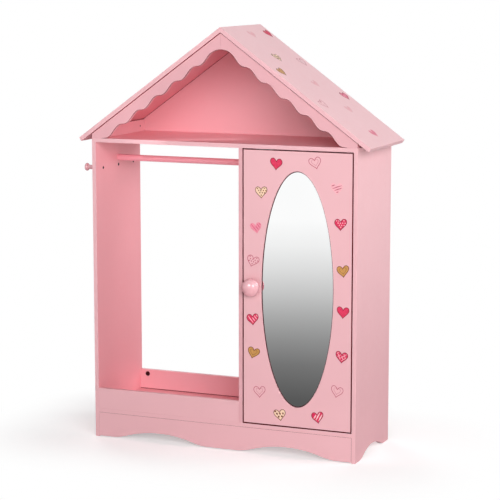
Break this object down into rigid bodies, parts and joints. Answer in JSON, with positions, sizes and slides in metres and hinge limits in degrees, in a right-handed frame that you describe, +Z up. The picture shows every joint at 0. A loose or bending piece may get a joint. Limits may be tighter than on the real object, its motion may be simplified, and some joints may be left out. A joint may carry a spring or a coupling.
{
  "type": "dress up storage unit with mirror",
  "caption": "House-shaped dress-up storage unit with an open hanging bay, a closet behind an oval-mirror door, coat pegs and an attic shelf under a gable roof.",
  "frame": {"origin": "on the floor, under the middle of the cabinet between its two side panels and between its front and back", "axes": "+Z up, +X to the right as seen from the front, +Y to the back; the door opens towards -Y"},
  "size_m": [0.9055, 0.329, 1.219],
  "materials": {
    "pink_lacquer": "satin lacquer on fibreboard",
    "pink_turned_wood": "gloss lacquer on turned wood",
    "zinc_steel": "zinc plated",
    "dark_steel": "dark zinc",
    "birch": "bare, fluted",
    "white_plastic": "matt moulded",
    "mirror": "silvered",
    "hardboard": "raw hardboard"
  },
  "bodies": {
    "cabinet": {"left_side_panel": "pink_lacquer", "right_side_panel": "pink_lacquer", "divider_panel": "pink_lacquer", "bottom_panel": "pink_lacquer", "base_apron": "pink_lacquer", "bay_front_rail": "pink_lacquer", "bay_back_rail": "pink_lacquer", "attic_shelf": "pink_lacquer", "closet_back_panel": "pink_lacquer", "closet_shelf_lower": "pink_lacquer", "closet_shelf_middle": "pink_lacquer", "closet_shelf_upper": "pink_lacquer", "shelf_pins": "zinc_steel", "left_knee_wall": "pink_lacquer", "right_knee_wall": "pink_lacquer", "attic_back_panel": "pink_lacquer", "left_gable_board": "pink_lacquer", "right_gable_board": "pink_lacquer", "left_roof_panel": "pink_lacquer", "right_roof_panel": "pink_lacquer", "roof_screws": "dark_steel", "hanging_rod": "pink_turned_wood", "coat_peg_front": "pink_turned_wood", "coat_peg_middle": "pink_turned_wood", "coat_peg_back": "pink_turned_wood", "peg_screws": "dark_steel", "dowels": "birch", "cam_locks": "dark_steel", "cam_bolts": "zinc_steel", "pivot_pins": "zinc_steel", "catch_case": "white_plastic", "catch_poles": "zinc_steel", "catch_screws": "zinc_steel"},
    "door": {"door_panel": "pink_lacquer", "mirror_glass": "mirror", "mirror_backing": "hardboard", "mirror_clips": "zinc_steel", "mirror_clip_screws": "zinc_steel", "door_knob": "pink_turned_wood", "knob_screw": "zinc_steel", "pivot_bushes": "dark_steel", "catch_strike": "zinc_steel", "strike_screws": "zinc_steel"}
  },
  "joints": [
    {"name": "door_hinge", "type": "hinge", "parent": "cabinet", "child": "door", "pos_m": [0.38905, -0.1415, 0.48375], "axis": [0, 0, 1], "range_deg": [0, 110]}
  ]
}
